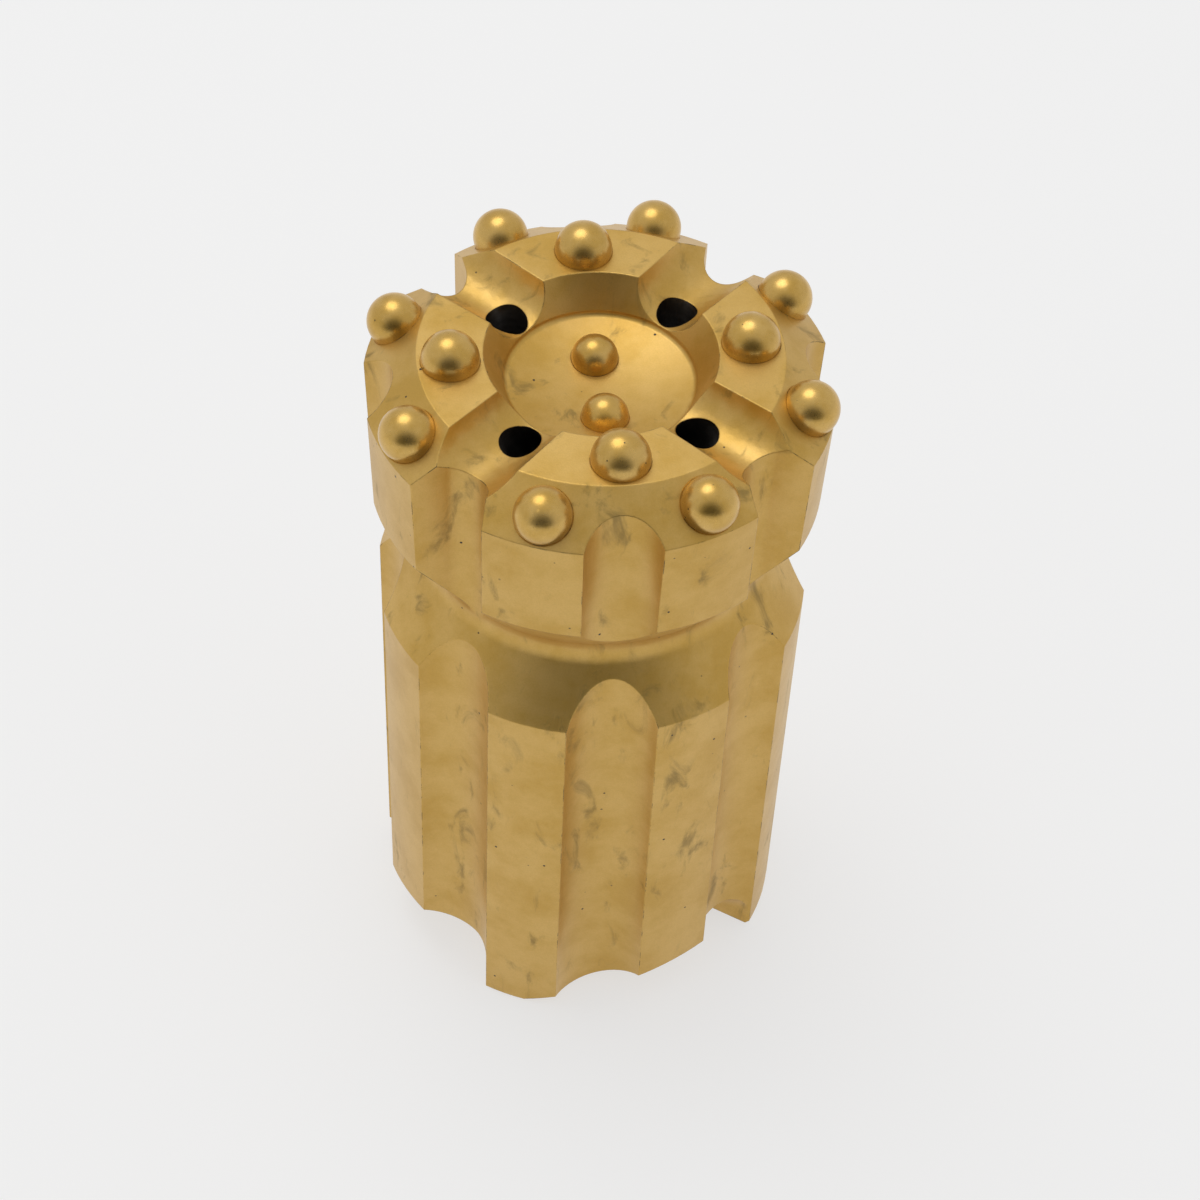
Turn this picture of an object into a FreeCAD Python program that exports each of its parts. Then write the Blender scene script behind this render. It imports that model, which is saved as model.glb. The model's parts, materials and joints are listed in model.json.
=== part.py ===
import FreeCAD, Part
import math
import os

V = FreeCAD.Vector
AXIS_Z = V(0, 0, 1)
ORIGIN = V(0, 0, 0)
FULL_TURN = 360.0

# Button drill bit of the drop-centre retrac kind, standing on its rear end.
# Millimetres; Z up along the bit, 0 at the rear end. Turns are degrees about Z,
# measured from -Y towards +X. "Out" is the distance from the bit's axis.

# Lengths along the bit
bit_length = 173.5            # rear end to the raised face of the segments
land_length = 34.0            # raised face down to the lower edge of the gauge lands
shoulder_depth = 67.2         # raised face down to the upper edge of the skirt lands

# Head
gauge_radius = 50.0           # steel radius at the top of the gauge lands
bevel_width = 11.4            # from the edge of the raised face out to the gauge radius
face_radius = gauge_radius - bevel_width
gauge_bevel = 35.6            # fall of the gauge bevel below level, degrees
land_back_taper = 0.8         # how much smaller the lands are at their lower edge
underside_angle = 35.5        # underside of the head, degrees from the axis
neck_fillet = 7.0             # hollow of the neck, in section
shoulder_angle = 30.6         # shoulder above the skirt, degrees from the axis
segments = 4

# Skirt
skirt_radius = 48.3
skirt_flutes = 8
skirt_flute_floor = 41.9      # out from the axis
skirt_flute_radius = 12.0     # section of a skirt flute
rear_edge_break = 0.8

# Flutes between and in the middle of the gauge lands
small_flute_floor = 43.5
small_flute_radius = 8.7
large_flute_floor = 39.4
large_flute_flare = 31.4      # slant of each flank from the radial plane, degrees
large_flute_root = 6.4        # radius of the floor between the flanks
large_flute_turn = FULL_TURN / segments / 2    # half-way between the segments

# Face grooves, from the drop centre out to the large flutes
groove_inner_out = 20.0
groove_inner_radius = 8.6     # of the round section
groove_inner_depth = 7.3      # raised face down to the floor
groove_outer_out = 46.0
groove_outer_radius = 9.9
groove_outer_depth = 7.0

# Drop centre
drop_rim_radius = 24.7
drop_wall_foot = 20.6         # radius at the foot of the wall
drop_wall_depth = 7.3
drop_ring = 1.3               # fillet at the foot of the wall
drop_floor_depth = 10.9       # in the middle of the dished floor

# Buttons
gauge_button_radius = 6.0
gauge_button_inset = 5.4      # from the gauge radius in to the button's axis, on the bevel
gauge_button_proud = 0.95     # straight part standing above the bevel
gauge_button_turn = 22.0      # either side of the middle of a segment
face_button_radius = 6.2
face_button_inset = 7.0       # from the edge of the raised face in to the button's axis
face_button_proud = 0.55
centre_buttons = 2
centre_button_radius = 5.05
centre_button_out = 9.0
centre_button_proud = 0.3
button_seat_depth = 15.0      # steel surface down to the flat bottom of the hole
button_hole_clearance = 0.01
button_foot_bevel = 1.0
layout_turn = 1.4             # the button circle is drilled turned against the flutes

# Threaded socket, water way and flushing holes
socket_radius = 25.8          # root of the rope thread
socket_depth = 118.0          # rear end up to the blind end
socket_mouth_bevel = 2.5
socket_end_fillet = 4.0
water_radius = 11.0
water_depth = 14.0            # past the blind end of the socket
flush_radius = 4.15
flush_out = 25.7              # where a flushing hole opens in its groove
flush_opening_depth = 7.3
flush_lean = 28.0             # from the axis, degrees

# Rear teeth: one slanting flat for each tooth, ending at an upright flank
rear_teeth = 4
tooth_flat_turn = 42.6        # the way the flat faces
tooth_flat_start = 19.8       # where the flat leaves the rear end, out from the axis
tooth_flat_angle = 27.0       # rise of the flat outwards, degrees
tooth_flank_turn = 56.4
tooth_root = 7.0              # fillet between the flat and the flank

beyond = 20.0                 # how far cutters reach past the steel
hair = 0.0001                 # two places closer than this are the same


def rad(degrees):
    return math.radians(degrees)


def turned(shape, turn):
    copy = shape.copy()
    copy.rotate(ORIGIN, AXIS_Z, turn)
    return copy


def ring_of(shape, first, count):
    """The shape repeated evenly round the axis."""
    return [turned(shape, first + FULL_TURN * i / count) for i in range(count)]


def revolve(edges):
    face = Part.Face(Part.Wire(edges))
    return face.revolve(ORIGIN, AXIS_Z, FULL_TURN)


def lines(points):
    return [Part.LineSegment(a, b).toShape() for a, b in zip(points, points[1:])]


def arc(start, middle, end):
    return Part.Arc(start, middle, end).toShape()


def quarter_round(start, corner, end):
    """The quarter circle that rounds off a square corner between start and end."""
    centre = start + end - corner
    outwards = V(corner - centre).normalize()
    return arc(start, centre + outwards * (start - centre).Length, end)


def profile_point(out, depth):
    """A point of the half section, by its depth below the raised face."""
    return V(out, 0, bit_length - depth)


def bevel_depth(out):
    """Depth of the gauge bevel below the raised face."""
    return (out - face_radius) * math.tan(rad(gauge_bevel))


def neck_corner():
    """Where the underside of the head would meet the shoulder: out and depth."""
    under, rise = math.tan(rad(underside_angle)), math.tan(rad(shoulder_angle))
    land_foot = gauge_radius - land_back_taper
    depth = (land_foot - skirt_radius + land_length * under + shoulder_depth * rise) / (under + rise)
    return land_foot - (depth - land_length) * under, depth


def neck_arc():
    """The hollow of the neck, tangent to the underside and to the shoulder."""
    out, depth = neck_corner()
    reach = neck_fillet * math.tan(rad(underside_angle + shoulder_angle) / 2)
    middle_out = out + reach * math.sin(rad(underside_angle)) + neck_fillet * math.cos(rad(underside_angle))
    middle_depth = (depth - reach * math.cos(rad(underside_angle))
                    + neck_fillet * math.sin(rad(underside_angle)))

    def on_arc(angle):
        return profile_point(middle_out - neck_fillet * math.cos(rad(angle)),
                             middle_depth - neck_fillet * math.sin(rad(angle)))
    return on_arc(underside_angle), on_arc(0), on_arc(-shoulder_angle)


def outer_body():
    """The solid of revolution that the flutes, grooves and holes are cut from."""
    top, waist, foot = neck_arc()
    land_foot = gauge_radius - land_back_taper
    edges = lines([V(0, 0, 0), V(skirt_radius - rear_edge_break, 0, 0),
                   V(skirt_radius, 0, rear_edge_break),
                   profile_point(skirt_radius, shoulder_depth), foot])
    edges += [arc(foot, waist, top)]
    edges += lines([top, profile_point(land_foot, land_length),
                    profile_point(gauge_radius, bevel_depth(gauge_radius)),
                    profile_point(face_radius, 0), profile_point(0, 0), V(0, 0, 0)])
    return revolve(edges)


def round_flute(floor, radius, low, high):
    """A flute of round section, upright, facing -Y."""
    return Part.makeCylinder(radius, high - low, V(0, -floor - radius, low))


def large_flute():
    """A flute with a round floor between two slanting flanks, facing -Y."""
    slant = rad(large_flute_flare)
    centre = large_flute_floor + large_flute_root
    foot_x = large_flute_root * math.cos(slant)
    foot_out = centre - large_flute_root * math.sin(slant)
    outer = gauge_radius + beyond
    outer_x = foot_x + (outer - foot_out) * math.tan(slant)
    low = bit_length - neck_corner()[1]
    left_foot, right_foot = V(-foot_x, -foot_out, low), V(foot_x, -foot_out, low)
    left_end, right_end = V(-outer_x, -outer, low), V(outer_x, -outer, low)
    edges = [arc(left_foot, V(0, -large_flute_floor, low), right_foot)]
    edges += lines([right_foot, right_end, left_end, left_foot])
    return Part.Face(Part.Wire(edges)).extrude(V(0, 0, neck_corner()[1] + beyond))


def groove_section(out, radius, depth):
    """The round section of a face groove at one distance from the axis."""
    centre = V(0, -out, bit_length - depth + radius)
    return Part.Wire(Part.makeCircle(radius, centre, V(0, -1, 0)))


def face_groove():
    """A groove that widens and rises a little outwards, facing -Y."""
    inner = groove_section(groove_inner_out, groove_inner_radius, groove_inner_depth)
    outer = groove_section(groove_outer_out, groove_outer_radius, groove_outer_depth)
    return Part.makeLoft([inner, outer], True, True)


def drop_floor_at(out):
    """Depth of the dished floor below the raised face, on a sphere round the axis."""
    edge_out = drop_wall_foot - drop_ring
    dish = drop_floor_depth - drop_wall_depth - drop_ring
    sphere = (edge_out ** 2 + dish ** 2) / (2 * dish)
    return drop_floor_depth - sphere + math.sqrt(sphere ** 2 - out ** 2)


def drop_centre():
    """The dished hollow in the middle of the face."""
    wall_lean = math.atan2(drop_rim_radius - drop_wall_foot, drop_wall_depth)
    above = drop_rim_radius + beyond * math.tan(wall_lean)
    edge_out, edge_depth = drop_wall_foot - drop_ring, drop_wall_depth + drop_ring
    wall_foot = profile_point(drop_wall_foot, drop_wall_depth)
    floor_edge = profile_point(edge_out, edge_depth)
    half_way = profile_point(edge_out / 2, drop_floor_at(edge_out / 2))
    floor_middle = profile_point(0, drop_floor_depth)
    edges = lines([profile_point(0, -beyond), profile_point(above, -beyond), wall_foot])
    edges += [quarter_round(wall_foot, profile_point(drop_wall_foot, edge_depth), floor_edge),
              arc(floor_edge, half_way, floor_middle)]
    edges += lines([floor_middle, profile_point(0, -beyond)])
    return revolve(edges)


def rear_tooth_cut():
    """What is cut away in front of one rear tooth: a slanting flat and an upright flank."""
    rise = math.tan(rad(tooth_flat_angle))
    reach = skirt_radius + beyond
    start = V(-reach, reach - tooth_flat_start, -reach * rise)
    end = V(-reach, -reach, (reach - tooth_flat_start) * rise)
    under = -2 * reach
    section = lines([start, end, V(-reach, end.y, under), V(-reach, start.y, under), start])
    wedge = Part.Face(Part.Wire(section)).extrude(V(2 * reach, 0, 0))
    flank = Part.makeBox(2 * reach, 4 * reach, 4 * reach, V(0, -2 * reach, -2 * reach))
    wedge = wedge.cut(turned(flank, tooth_flank_turn - tooth_flat_turn))
    root = [e for e in wedge.Edges if is_tooth_root(e, rise)]
    return turned(wedge.makeFillet(tooth_root, root), tooth_flat_turn)


def is_tooth_root(edge, rise):
    """True for the edge where the slanting flat meets the flank."""
    lean = rad(tooth_flank_turn - tooth_flat_turn)
    for vertex in edge.Vertexes:
        p = vertex.Point
        on_flat = abs(p.z - (-p.y - tooth_flat_start) * rise) < hair
        on_flank = abs(p.x * math.cos(lean) + p.y * math.sin(lean)) < hair
        if not (on_flat and on_flank):
            return False
    return True


def socket():
    """The blind socket that takes the drill rod, from the rear, with its water way."""
    end = socket_depth
    mouth = socket_radius + socket_mouth_bevel
    round_start = V(socket_radius, 0, end - socket_end_fillet)
    round_end = V(socket_radius - socket_end_fillet, 0, end)
    edges = lines([V(0, 0, -beyond), V(mouth, 0, -beyond), V(mouth, 0, 0),
                   V(socket_radius, 0, socket_mouth_bevel), round_start])
    edges += [quarter_round(round_start, V(socket_radius, 0, end), round_end)]
    edges += lines([round_end, V(water_radius, 0, end), V(water_radius, 0, end + water_depth),
                    V(0, 0, end + water_depth), V(0, 0, -beyond)])
    return revolve(edges)


def flushing_hole():
    """A slanting hole from the water way to a face groove, facing -Y."""
    lean = rad(flush_lean)
    along = V(0, -math.sin(lean), math.cos(lean))
    opening = V(0, -flush_out, bit_length - flush_opening_depth)
    foot_height = socket_depth + water_depth / 2
    below = (opening.z - foot_height) / math.cos(lean)
    start = opening - along * below
    return Part.makeCylinder(flush_radius, below + beyond, start, along)


def button(radius, proud):
    """A domed button standing on its flat foot, along +Z; the steel surface is at 0."""
    foot, top = -button_seat_depth, proud + radius
    edges = lines([V(0, 0, foot), V(radius - button_foot_bevel, 0, foot),
                   V(radius, 0, foot + button_foot_bevel), V(radius, 0, proud)])
    edges += [quarter_round(V(radius, 0, proud), V(radius, 0, top), V(0, 0, top))]
    edges += lines([V(0, 0, top), V(0, 0, foot)])
    return revolve(edges)


def button_hole(radius):
    """The hole that seats a button; its flat bottom carries the button's foot."""
    return Part.makeCylinder(radius + button_hole_clearance, button_seat_depth + beyond,
                             V(0, 0, -button_seat_depth))


def seat(shape, out, depth, tilt, turn):
    """Moves a button or its hole from the origin to its place on the head."""
    placed = shape.copy()
    placed.rotate(ORIGIN, V(1, 0, 0), tilt)
    placed.translate(V(0, -out, bit_length - depth))
    placed.rotate(ORIGIN, AXIS_Z, turn + layout_turn)
    return placed


def button_plan():
    """Every button: name, dome radius, straight part, distance out, depth, tilt, turn."""
    segment_turns = [FULL_TURN * s / segments for s in range(segments)]
    gauge_turns = [middle + side for middle in segment_turns
                   for side in (-gauge_button_turn, gauge_button_turn)]
    centre_turns = [FULL_TURN * c / centre_buttons for c in range(centre_buttons)]
    gauge_out = gauge_radius - gauge_button_inset
    plan = []
    for number, turn in enumerate(gauge_turns, 1):
        plan.append(("gauge_button_%d" % number, gauge_button_radius, gauge_button_proud,
                     gauge_out, bevel_depth(gauge_out), gauge_bevel, turn))
    for number, turn in enumerate(segment_turns, 1):
        plan.append(("face_button_%d" % number, face_button_radius, face_button_proud,
                     face_radius - face_button_inset, 0, 0, turn))
    for number, turn in enumerate(centre_turns, 1):
        plan.append(("centre_button_%d" % number, centre_button_radius, centre_button_proud,
                     centre_button_out, drop_floor_at(centre_button_out), 0, turn))
    return plan


def steel_body(plan):
    """The one-piece steel body with everything cut from it."""
    neck_height = bit_length - neck_corner()[1]
    top = bit_length + beyond
    cuts = ring_of(round_flute(small_flute_floor, small_flute_radius, neck_height, top),
                   0, segments)
    cuts += ring_of(large_flute(), large_flute_turn, segments)
    cuts += ring_of(face_groove(), large_flute_turn, segments)
    cuts += ring_of(round_flute(skirt_flute_floor, skirt_flute_radius, -beyond, neck_height),
                    0, skirt_flutes)
    cuts += [drop_centre(), socket()]
    cuts += ring_of(flushing_hole(), large_flute_turn, segments)
    cuts += ring_of(rear_tooth_cut(), 0, rear_teeth)
    for name, radius, proud, out, depth, tilt, turn in plan:
        cuts.append(seat(button_hole(radius), out, depth, tilt, turn))
    body = outer_body()
    for cut in cuts:
        body = body.cut(cut)
    return body.removeSplitter()


os.makedirs("parts", exist_ok=True)
buttons = button_plan()
steel_body(buttons).exportStep("parts/steel_body.step")
for name, radius, proud, out, depth, tilt, turn in buttons:
    seat(button(radius, proud), out, depth, tilt, turn).exportStep("parts/%s.step" % name)
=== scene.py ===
import json
import math

import bmesh
import bpy
from bpy.props import FloatProperty, FloatVectorProperty, IntProperty, PointerProperty
from mathutils import Matrix, Vector


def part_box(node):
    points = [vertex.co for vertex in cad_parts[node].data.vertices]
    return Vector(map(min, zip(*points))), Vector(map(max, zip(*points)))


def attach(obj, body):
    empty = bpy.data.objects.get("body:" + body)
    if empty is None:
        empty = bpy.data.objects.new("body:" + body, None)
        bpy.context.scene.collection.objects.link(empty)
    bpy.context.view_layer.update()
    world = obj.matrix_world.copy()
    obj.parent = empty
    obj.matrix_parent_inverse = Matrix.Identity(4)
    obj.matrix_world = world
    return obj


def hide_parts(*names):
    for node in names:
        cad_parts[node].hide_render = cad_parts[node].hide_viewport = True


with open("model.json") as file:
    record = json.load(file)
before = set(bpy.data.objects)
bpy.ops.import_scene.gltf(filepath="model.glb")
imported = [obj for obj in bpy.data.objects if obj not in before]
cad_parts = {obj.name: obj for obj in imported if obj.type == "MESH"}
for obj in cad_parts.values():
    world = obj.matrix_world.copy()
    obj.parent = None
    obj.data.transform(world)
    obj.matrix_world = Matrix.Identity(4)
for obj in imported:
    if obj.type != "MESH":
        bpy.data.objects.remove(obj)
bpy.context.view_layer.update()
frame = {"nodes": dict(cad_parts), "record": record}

bl_info = {
    "name": "Button drill bit",
    "version": (1, 0, 0),
    "blender": (4, 5, 0),
    "location": "View3D > Sidebar > Drill bit",
    "description": "Gold-painted retrac button bit: body, carbide buttons, rope thread and studio",
    "category": "Object",
}

BODY = "root"
MM = 0.001
BODY_NODE = "steel_body"
BUTTON_NODES = sorted(name for name in frame["nodes"] if name != BODY_NODE)
FACE_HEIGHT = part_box(BODY_NODE)[1].z     # the raised face of the head

# The socket and its passages, as the body's mounts and holes have them
SOCKET_MOUNT = next(m for m in frame["record"]["mounts"] if m["name"] == "rod_thread")
SOCKET_RADIUS = SOCKET_MOUNT["dims"]["r_mm"] * MM
SOCKET_DEPTH = next(m for m in frame["record"]["mounts"] if m["name"] == "rod_seat")["pos_m"][2]
WATER_RADIUS = 11.0 * MM
WATER_DEPTH = 14.0 * MM
FLUSH_RADIUS = 4.15 * MM
FLUSH_OUT = 25.7 * MM
FLUSH_OPENING = 7.3 * MM             # below the raised face
FLUSH_LEAN = math.radians(28.0)
FLUSH_HOLES = 4
FLUSH_MOUTH = 3.0 * MM               # a hole's wall rises this far past its opening
WALL_MARGIN = 0.1 * MM               # a face this near to a wall lies on it
HOLE_MARGIN = 0.06 * MM
SEAT_FACE_HEIGHT = 0.05 * MM         # faces below this belong to the rear end

JOIN_WITHIN = 0.002 * MM
SHARP_ANGLE = math.radians(24)       # edges that fold more than this stay crisp

CAMERA_ANGLES = (-7.894, 48.583, 2.986)      # turn, rise and roll in degrees
AIM_BELOW_FACE = 78.017 * MM
AIM_ASIDE = 2.378 * MM
LAMP_PLACE = (-0.25, 0.45, 1.5)


def place(obj, material_slot, *nodes):
    """Joins a finished piece to the frame."""
    bpy.context.scene.collection.objects.link(obj)
    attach(obj, BODY)
    if nodes:
        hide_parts(*nodes)
    return obj


def polar(out, turn, height):
    """A point by its distance from the axis, its turn from -Y towards +X, and its height."""
    return Vector((out * math.sin(turn), -out * math.cos(turn), height))


# ---------------------------------------------------------------- materials

class Nodes:
    """Builds one material's node tree."""

    def __init__(self, name):
        self.material = bpy.data.materials.new(name)
        self.material.use_nodes = True
        self.tree = self.material.node_tree
        self.tree.nodes.clear()
        self.out = self.tree.nodes.new("ShaderNodeOutputMaterial")
        self.coord = self.tree.nodes.new("ShaderNodeTexCoord").outputs["Object"]

    def add(self, kind, **settings):
        node = self.tree.nodes.new(kind)
        for key, value in settings.items():
            setattr(node, key, value)
        return node

    def feed(self, socket, value):
        if isinstance(value, bpy.types.NodeSocket):
            self.tree.links.new(value, socket)
        else:
            socket.default_value = value

    def math(self, operation, *values, clamp=False):
        node = self.add("ShaderNodeMath", operation=operation, use_clamp=clamp)
        for socket, value in zip(node.inputs, values):
            self.feed(socket, value)
        return node.outputs[0]

    def vector(self, operation, *values):
        node = self.add("ShaderNodeVectorMath", operation=operation)
        for socket, value in zip(node.inputs, values):
            self.feed(socket, value)
        return node.outputs["Value" if operation == "DOT_PRODUCT" else "Vector"]

    def stretched(self, scale):
        node = self.add("ShaderNodeMapping")
        self.feed(node.inputs["Vector"], self.coord)
        node.inputs["Scale"].default_value = scale
        return node.outputs[0]

    def noise(self, size, detail=4.0, roughness=0.5, vector=None, distortion=0.0):
        node = self.add("ShaderNodeTexNoise")
        self.feed(node.inputs["Vector"], vector or self.coord)
        node.inputs["Scale"].default_value = 1 / size
        node.inputs["Detail"].default_value = detail
        node.inputs["Roughness"].default_value = roughness
        node.inputs["Distortion"].default_value = distortion
        return node.outputs["Fac"]

    def cells(self, size, output="Distance"):
        node = self.add("ShaderNodeTexVoronoi", feature="F1")
        self.feed(node.inputs["Vector"], self.coord)
        node.inputs["Scale"].default_value = 1 / size
        return node.outputs[output]

    def span(self, value, low, high, to_low=0.0, to_high=1.0):
        """Maps low..high smoothly to to_low..to_high."""
        node = self.add("ShaderNodeMapRange", interpolation_type="SMOOTHSTEP")
        for socket, number in zip(node.inputs, (value, low, high, to_low, to_high)):
            self.feed(socket, number)
        return node.outputs[0]

    def mix(self, factor, first, second, blend="MIX"):
        node = self.add("ShaderNodeMix", data_type="RGBA", blend_type=blend)
        self.feed(node.inputs[0], factor)
        for socket, colour in ((node.inputs[6], first), (node.inputs[7], second)):
            if not isinstance(colour, bpy.types.NodeSocket):
                colour = (*colour, 1.0)
            self.feed(socket, colour)
        return node.outputs[2]

    def blend(self, factor, first, second):
        node = self.add("ShaderNodeMix", data_type="FLOAT")
        for socket, value in zip(node.inputs[0:1] + node.inputs[2:4], (factor, first, second)):
            self.feed(socket, value)
        return node.outputs[0]

    def specks(self, spacing, size, axis, rarity):
        """A mask of round specks; few of the cells, those past the rarity, have one."""
        chance = self.vector("DOT_PRODUCT", self.cells(spacing, output="Color"), axis)
        dot = self.span(self.cells(spacing), 0.05, size, 1.0, 0.0)
        return self.math("MULTIPLY", dot, self.span(chance, rarity, rarity + 0.04))

    def bump(self, height, depth, strength=1.0, normal=None):
        node = self.add("ShaderNodeBump")
        node.inputs["Strength"].default_value = strength
        node.inputs["Distance"].default_value = depth
        self.feed(node.inputs["Height"], height)
        if normal is not None:
            self.feed(node.inputs["Normal"], normal)
        return node.outputs[0]

    def surface(self, **values):
        shader = self.add("ShaderNodeBsdfPrincipled")
        for name, value in values.items():
            self.feed(shader.inputs[name.replace("_", " ")], value)
        self.tree.links.new(shader.outputs[0], self.out.inputs["Surface"])
        return self.material

    def worn_edges(self, radius):
        """The normal rounded over sharp edges, and how close an edge is."""
        node = self.add("ShaderNodeBevel", samples=8)
        node.inputs["Radius"].default_value = radius
        plain = self.add("ShaderNodeNewGeometry").outputs["Normal"]
        facing = self.vector("DOT_PRODUCT", node.outputs[0], plain)
        return node.outputs[0], self.math("SUBTRACT", 1.0, facing, clamp=True)


def gold_paint(name, settings):
    """Metallic gold paint, sprayed over steel, grained, smudged and worn on its edges."""
    n = Nodes(name)
    grain = n.noise(0.35 * MM, 3.0, 0.65)
    cloud = n.noise(14 * MM, 4.0, 0.6)
    fine_cloud = n.noise(2.6 * MM, 3.0, 0.6)
    streak = n.noise(7 * MM, 6.0, 0.62, n.stretched((1.0, 1.0, 0.4)), distortion=0.6)
    rounded, edge = n.worn_edges(settings.edge_radius)

    colour = n.mix(n.span(cloud, 0.35, 0.68), settings.gold, settings.deep_gold)
    colour = n.mix(n.span(fine_cloud, 0.3, 0.75, 0.0, 0.22), colour, settings.deep_gold)
    colour = n.mix(n.span(grain, 0.35, 0.7, 0.0, 0.10), colour, (0.28, 0.16, 0.03))
    smudge = n.span(streak, 0.56, 0.74)
    colour = n.mix(n.math("MULTIPLY", smudge, settings.smudges), colour, settings.grime)
    edge_break = n.math("MULTIPLY", n.span(edge, 0.02, 0.10),
                        n.span(n.noise(5 * MM, 4.0, 0.7), 0.50, 0.62))
    rim = n.math("MULTIPLY", edge_break, settings.edge_wear)
    bare = n.math("MAXIMUM", n.specks(3.4 * MM, 0.11, (1.0, 0.0, 0.0), 0.80), rim)
    colour = n.mix(bare, colour, settings.bare_steel)

    uneven = n.math("MULTIPLY", n.math("SUBTRACT", grain, 0.5), 0.12)
    rough = n.math("ADD", settings.roughness, uneven)
    rough = n.math("ADD", rough, n.math("MULTIPLY", smudge, 0.14))
    rough = n.blend(bare, rough, 0.55)
    height = n.math("ADD", grain, n.math("MULTIPLY", bare, -1.2))
    normal = n.bump(height, 0.035 * MM, 0.75, rounded)
    return n.surface(Base_Color=colour, Metallic=0.82, Roughness=rough, Normal=normal,
                     Coat_Weight=0.12, Coat_Roughness=0.22)


def button_paint(name, settings):
    """The same paint over polished carbide, which makes it smoother."""
    n = Nodes(name)
    grain = n.noise(0.5 * MM, 3.0, 0.6)
    cloud = n.noise(5 * MM, 4.0, 0.6)
    colour = n.mix(n.span(cloud, 0.3, 0.7), settings.gold, settings.deep_gold)
    colour = n.mix(n.span(grain, 0.4, 0.75, 0.0, 0.12), colour, (0.3, 0.18, 0.04))
    colour = n.mix(n.specks(2.2 * MM, 0.12, (0.0, 1.0, 0.0), 0.82), colour, (0.10, 0.07, 0.03))
    height = n.math("MULTIPLY", grain, 0.5)
    return n.surface(Base_Color=colour, Metallic=0.85, Roughness=n.span(grain, 0.2, 0.8, 0.26, 0.34),
                     Normal=n.bump(height, 0.03 * MM, 0.6), Coat_Weight=0.2, Coat_Roughness=0.18)


def machined_steel(name):
    """Dark, oily machined steel with turning marks, inside the socket and the holes."""
    n = Nodes(name)
    rings = n.noise(0.5 * MM, 2.0, 0.5, n.stretched((0.05, 0.05, 1.0)))
    oil = n.noise(9 * MM, 4.0, 0.6)
    colour = n.mix(n.span(oil, 0.35, 0.7), (0.13, 0.12, 0.115), (0.055, 0.045, 0.035))
    colour = n.mix(n.span(n.noise(3 * MM, 5.0, 0.7), 0.6, 0.72, 0.0, 0.6), colour, (0.12, 0.055, 0.02))
    rough = n.span(rings, 0.3, 0.7, 0.32, 0.5)
    return n.surface(Base_Color=colour, Metallic=0.9, Roughness=rough,
                     Normal=n.bump(rings, 0.03 * MM, 0.6))


# ---------------------------------------------------------------- settings

class DrillBitPaint(bpy.types.PropertyGroup):
    """Colours and wear of the paint."""
    gold: FloatVectorProperty(name="Gold", description="Lighter tone of the paint",
                              subtype="COLOR", size=3, default=(0.70, 0.455, 0.135))
    deep_gold: FloatVectorProperty(name="Deep gold", description="Darker tone of the paint",
                                   subtype="COLOR", size=3, default=(0.60, 0.365, 0.075))
    grime: FloatVectorProperty(name="Grime", description="Olive smudges on the paint",
                               subtype="COLOR", size=3, default=(0.165, 0.12, 0.04))
    bare_steel: FloatVectorProperty(name="Bare steel", description="Steel where the paint is gone",
                                    subtype="COLOR", size=3, default=(0.045, 0.04, 0.036))
    roughness: FloatProperty(name="Roughness", description="Roughness of the paint on the body",
                             default=0.40, min=0.0, max=1.0, subtype="FACTOR")
    smudges: FloatProperty(name="Smudges", description="Strength of the smudges",
                           default=0.55, min=0.0, max=1.0, subtype="FACTOR")
    edge_wear: FloatProperty(name="Edge wear", description="How bare the broken edges are",
                             default=0.85, min=0.0, max=1.0, subtype="FACTOR")
    edge_radius: FloatProperty(name="Edge radius", description="Softness of the body's edges",
                               default=0.45 * MM, min=0.0, unit="LENGTH")


class DrillBitThread(bpy.types.PropertyGroup):
    """Sizes of the left-hand rope thread in the socket."""
    pitch: FloatProperty(name="Pitch", description="Rise of the thread in one turn",
                         default=12.7 * MM, min=4 * MM, unit="LENGTH")
    depth: FloatProperty(name="Depth", description="Height of the crest above the root",
                         default=2.4 * MM, min=0.5 * MM, unit="LENGTH")
    crest: FloatProperty(name="Crest width", description="Width of the crest along the axis",
                         default=3.4 * MM, min=0.5 * MM, unit="LENGTH")
    run_out: FloatProperty(name="Run-out", description="Plain wall at either end of the thread",
                           default=9 * MM, min=0.0, unit="LENGTH")
    steps: IntProperty(name="Steps", description="Steps in one turn of the thread",
                       default=64, min=24, max=128)


class DrillBitStudio(bpy.types.PropertyGroup):
    """Light and camera."""
    sky: FloatProperty(name="Sky", description="Brightness of the white surroundings",
                       default=0.85, min=0.0)
    dark_side: FloatProperty(name="Dark side", description="Brightness of the unlit room in front",
                             default=0.03, min=0.0)
    dark_turn: FloatProperty(name="Dark turn", description="Turn of the unlit room from the front",
                             default=math.radians(-6), subtype="ANGLE")
    dark_rise: FloatProperty(name="Dark rise", description="Height of the unlit room over level",
                             default=math.radians(9), subtype="ANGLE")
    dark_core: FloatProperty(name="Dark core", description="Half the width of its darkest part",
                             default=math.radians(16), subtype="ANGLE")
    dark_edge: FloatProperty(name="Dark edge", description="Half the width to where it ends",
                             default=math.radians(58), subtype="ANGLE")
    key: FloatProperty(name="Top light", description="Power of the soft top light",
                       default=5.0, min=0.0, unit="POWER")
    floor_radius: FloatProperty(name="Floor", description="Radius of the round floor",
                                default=4.0, min=1.0, unit="LENGTH")
    floor_white: FloatProperty(name="Floor white", description="How far the floor is seen as white",
                               default=0.62, min=0.0, max=1.0, subtype="FACTOR")
    lens: FloatProperty(name="Lens", description="Focal length of the camera",
                        default=84.0, min=20.0, unit="CAMERA")
    distance: FloatProperty(name="Distance", description="From the camera to its aim",
                            default=641.6 * MM, min=0.1, unit="LENGTH")


# ---------------------------------------------------------------- pieces

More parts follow.
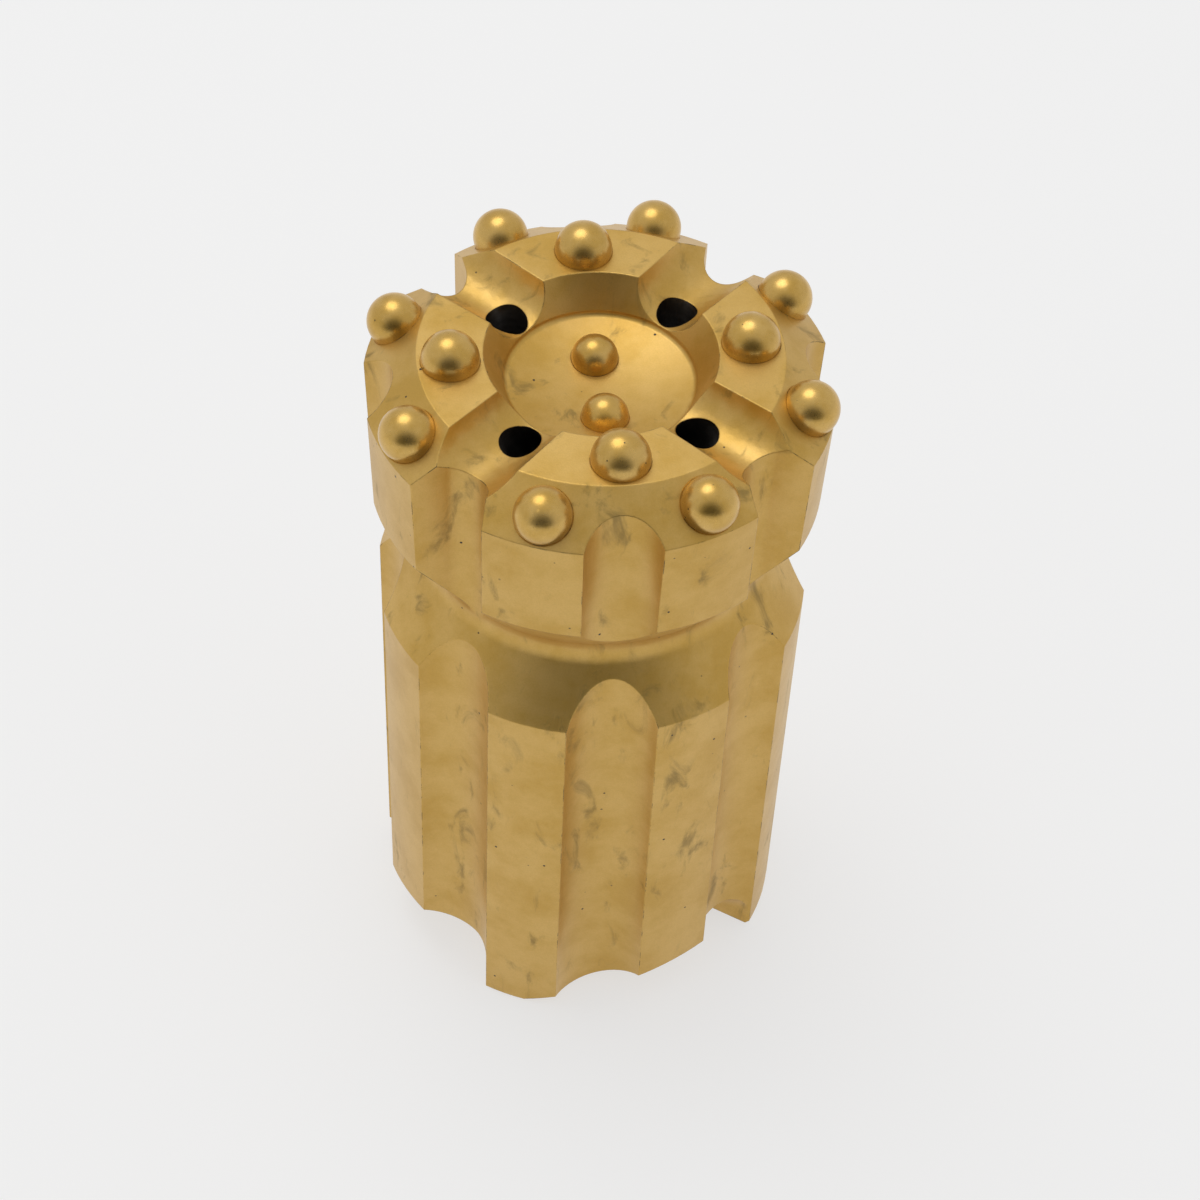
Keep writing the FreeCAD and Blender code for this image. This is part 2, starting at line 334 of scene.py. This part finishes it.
def merged_copy(node, name):
    """A piece with a CAD node's shape, its triangles joined and shaded smooth up to the real edges."""
    mesh = frame["nodes"][node].data.copy()
    mesh.name = name
    mesh.materials.clear()
    shape = bmesh.new()
    shape.from_mesh(mesh)
    bmesh.ops.remove_doubles(shape, verts=shape.verts, dist=JOIN_WITHIN)
    for face in shape.faces:
        face.smooth = True
        face.material_index = 0
    for edge in shape.edges:
        edge.smooth = len(edge.link_faces) == 2 and edge.calc_face_angle() < SHARP_ANGLE
    shape.to_mesh(mesh)
    shape.free()
    return bpy.data.objects.new(name, mesh)


def even_normals(obj):
    """Keeps flat faces flat where small rounded faces join them."""
    modifier = obj.modifiers.new("Even normals", "WEIGHTED_NORMAL")
    modifier.keep_sharp = True
    modifier.weight = 80


def in_a_flushing_hole(point):
    """True for a point on the wall of one of the slanting holes."""
    for number in range(FLUSH_HOLES):
        turn = 2 * math.pi * (number + 0.5) / FLUSH_HOLES
        opening = polar(FLUSH_OUT, turn, FACE_HEIGHT - FLUSH_OPENING)
        along = polar(math.sin(FLUSH_LEAN), turn, math.cos(FLUSH_LEAN))
        away = point - opening
        off_axis = (away - along * away.dot(along)).length
        if abs(off_axis - FLUSH_RADIUS) < HOLE_MARGIN and point.z < opening.z + FLUSH_MOUTH:
            return True
    return False


def in_a_passage(point):
    """True for a point of the socket, the water way or a flushing hole."""
    out = math.hypot(point.x, point.y)
    in_height = SEAT_FACE_HEIGHT < point.z < SOCKET_DEPTH + WALL_MARGIN
    if out < SOCKET_RADIUS + WALL_MARGIN and in_height:
        return True
    if out < WATER_RADIUS + WALL_MARGIN and point.z < SOCKET_DEPTH + WATER_DEPTH + WALL_MARGIN:
        return True
    return in_a_flushing_hole(point)


def thread_section(thread):
    """Corners of the thread's crest in section: out from the axis, and along it."""
    foot = SOCKET_RADIUS + 0.15 * MM
    top = SOCKET_RADIUS - thread.depth
    half = thread.crest / 2
    flank = thread.depth * 0.9
    points = [(foot, -half - flank), (SOCKET_RADIUS - 0.1 * thread.depth, -half - flank * 0.86)]
    points += [(top + 0.25 * thread.depth, -half - flank * 0.2), (top, -half * 0.55)]
    points += [(out, -along) for out, along in reversed(points)]
    return points


class DRILLBIT_OT_body(bpy.types.Operator):
    """Make the painted steel body, with bare steel in its passages"""
    bl_idname = "drillbit.body"
    bl_label = "Steel body"

    def execute(self, context):
        settings = context.scene.drillbit_paint
        body = merged_copy(BODY_NODE, "painted_body")
        body.data.materials.append(gold_paint("Gold paint on steel", settings))
        body.data.materials.append(machined_steel("Machined steel"))
        for face in body.data.polygons:
            if in_a_passage(face.center):
                face.material_index = 1
        even_normals(body)
        place(body, "body_paint", BODY_NODE)
        return {"FINISHED"}


class DRILLBIT_OT_buttons(bpy.types.Operator):
    """Make the domed carbide buttons, painted over"""
    bl_idname = "drillbit.buttons"
    bl_label = "Carbide buttons"

    def execute(self, context):
        paint = button_paint("Gold paint on carbide", context.scene.drillbit_paint)
        for node in BUTTON_NODES:
            button = merged_copy(node, "painted_" + node)
            button.data.materials.append(paint)
            place(button, "button_paint", node)
        return {"FINISHED"}


class DRILLBIT_OT_thread(bpy.types.Operator):
    """Make the left-hand rope thread in the socket"""
    bl_idname = "drillbit.thread"
    bl_label = "Rope thread"

    def execute(self, context):
        thread = context.scene.drillbit_thread
        start, end = thread.run_out, SOCKET_DEPTH - thread.run_out
        turns = (end - start) / thread.pitch
        mesh = bpy.data.meshes.new("rope_thread")
        shape = bmesh.new()
        corners = [shape.verts.new((out, 0.0, start + along)) for out, along in thread_section(thread)]
        section = shape.faces.new(corners)
        steps = int(turns * thread.steps)
        bmesh.ops.spin(shape, geom=[section], cent=(0, 0, 0), axis=(0, 0, 1),
                       dvec=(0, 0, (end - start) / steps), angle=-2 * math.pi * turns,
                       steps=steps, use_duplicate=False)
        bmesh.ops.recalc_face_normals(shape, faces=shape.faces)
        for face in shape.faces:
            face.smooth = True
        shape.to_mesh(mesh)
        shape.free()
        obj = bpy.data.objects.new("rope_thread", mesh)
        steel = bpy.data.materials.get("Machined steel") or machined_steel("Machined steel")
        mesh.materials.append(steel)
        place(obj, "body_paint")
        return {"FINISHED"}


def studio_world(studio):
    """White surroundings with an unlit part low in front; the camera sees plain white."""
    world = bpy.data.worlds.new("Studio")
    world.use_nodes = True
    tree = world.node_tree
    tree.nodes.clear()

    def add(kind, **settings):
        node = tree.nodes.new(kind)
        for key, value in settings.items():
            setattr(node, key, value)
        return node

    direction = add("ShaderNodeTexCoord").outputs["Generated"]
    towards = add("ShaderNodeVectorMath", operation="DOT_PRODUCT")
    tree.links.new(direction, towards.inputs[0])
    towards.inputs[1].default_value = polar(math.cos(studio.dark_rise), studio.dark_turn,
                                            math.sin(studio.dark_rise))
    shade = add("ShaderNodeMapRange", interpolation_type="SMOOTHSTEP")
    tree.links.new(towards.outputs["Value"], shade.inputs["Value"])
    shade.inputs["From Min"].default_value = math.cos(studio.dark_edge)
    shade.inputs["From Max"].default_value = math.cos(studio.dark_core)
    shade.inputs["To Min"].default_value = studio.sky
    shade.inputs["To Max"].default_value = studio.dark_side
    lit, white = add("ShaderNodeBackground"), add("ShaderNodeBackground")
    tree.links.new(shade.outputs[0], lit.inputs["Strength"])
    seen = add("ShaderNodeLightPath").outputs["Is Camera Ray"]
    choice = add("ShaderNodeMixShader")
    tree.links.new(seen, choice.inputs[0])
    tree.links.new(lit.outputs[0], choice.inputs[1])
    tree.links.new(white.outputs[0], choice.inputs[2])
    tree.links.new(choice.outputs[0], add("ShaderNodeOutputWorld").inputs["Surface"])
    bpy.context.scene.world = world


def floor_material(white_share):
    """Plain pale floor that keeps a soft shadow and looks near white to the camera and in gloss."""
    n = Nodes("Pale floor")
    matte = n.add("ShaderNodeBsdfDiffuse")
    matte.inputs["Color"].default_value = (0.84, 0.84, 0.84, 1)
    glow = n.add("ShaderNodeEmission")
    path = n.add("ShaderNodeLightPath")
    seen = n.math("ADD", path.outputs["Is Camera Ray"],
                  n.math("ADD", path.outputs["Is Glossy Ray"], path.outputs["Is Transmission Ray"]),
                  clamp=True)
    choice = n.add("ShaderNodeMixShader")
    n.feed(choice.inputs[0], n.math("MULTIPLY", seen, white_share))
    n.tree.links.new(matte.outputs[0], choice.inputs[1])
    n.tree.links.new(glow.outputs[0], choice.inputs[2])
    n.tree.links.new(choice.outputs[0], n.out.inputs["Surface"])
    return n.material


def aim_camera(studio):
    """The view from above and a little to the left of the front."""
    turn, rise, roll = (math.radians(angle) for angle in CAMERA_ANGLES)
    back = polar(math.cos(rise), turn, math.sin(rise))
    right = Vector((math.cos(turn), math.sin(turn), 0.0))
    target = Vector((0.0, 0.0, FACE_HEIGHT - AIM_BELOW_FACE)) + right * AIM_ASIDE
    up = back.cross(right)
    side = right * math.cos(roll) + up * math.sin(roll)
    upright = up * math.cos(roll) - right * math.sin(roll)
    data = bpy.data.cameras.new("Camera")
    data.lens = studio.lens
    camera = bpy.data.objects.new("Camera", data)
    camera.matrix_world = Matrix.Translation(target + back * studio.distance) @ Matrix(
        (side, upright, back)).transposed().to_4x4()
    bpy.context.scene.collection.objects.link(camera)
    bpy.context.scene.camera = camera


class DRILLBIT_OT_stage(bpy.types.Operator):
    """Make the floor, the light and the camera"""
    bl_idname = "drillbit.stage"
    bl_label = "Stage"

    def execute(self, context):
        studio = context.scene.drillbit_studio
        mesh = bpy.data.meshes.new("floor")
        shape = bmesh.new()
        bmesh.ops.create_circle(shape, cap_ends=True, segments=96, radius=studio.floor_radius)
        shape.to_mesh(mesh)
        shape.free()
        floor = bpy.data.objects.new("floor", mesh)
        mesh.materials.append(floor_material(studio.floor_white))
        context.scene.collection.objects.link(floor)
        studio_world(studio)
        light = bpy.data.lights.new("Top light", "AREA")
        light.shape, light.size, light.energy = "DISK", 1.0, studio.key
        lamp = bpy.data.objects.new("Top light", light)
        lamp.location = LAMP_PLACE
        lamp.rotation_euler = (-Vector(lamp.location)).to_track_quat("-Z", "Y").to_euler()
        context.scene.collection.objects.link(lamp)
        aim_camera(studio)
        context.scene.view_settings.view_transform = "Standard"
        return {"FINISHED"}


class DRILLBIT_PT_panel(bpy.types.Panel):
    """Lists the drill bit's pieces"""
    bl_idname = "DRILLBIT_PT_panel"
    bl_label = "Button drill bit"
    bl_space_type = "VIEW_3D"
    bl_region_type = "UI"
    bl_category = "Drill bit"

    def draw(self, context):
        for operator in OPERATORS:
            self.layout.operator(operator.bl_idname)
        for group in ("drillbit_paint", "drillbit_thread", "drillbit_studio"):
            settings = getattr(context.scene, group)
            box = self.layout.box()
            for name in settings.bl_rna.properties.keys():
                if name not in ("rna_type", "name"):
                    box.prop(settings, name)


OPERATORS = (DRILLBIT_OT_body, DRILLBIT_OT_buttons, DRILLBIT_OT_thread, DRILLBIT_OT_stage)
GROUPS = (DrillBitPaint, DrillBitThread, DrillBitStudio)
CLASSES = GROUPS + OPERATORS + (DRILLBIT_PT_panel,)


def register():
    for cls in CLASSES:
        bpy.utils.register_class(cls)
    bpy.types.Scene.drillbit_paint = PointerProperty(type=DrillBitPaint)
    bpy.types.Scene.drillbit_thread = PointerProperty(type=DrillBitThread)
    bpy.types.Scene.drillbit_studio = PointerProperty(type=DrillBitStudio)


def unregister():
    for name in ("drillbit_paint", "drillbit_thread", "drillbit_studio"):
        delattr(bpy.types.Scene, name)
    for cls in reversed(CLASSES):
        bpy.utils.unregister_class(cls)


def main():
    register()
    bpy.ops.drillbit.body()
    bpy.ops.drillbit.buttons()
    bpy.ops.drillbit.thread()
    bpy.ops.drillbit.stage()


if __name__ == "__main__":
    main()
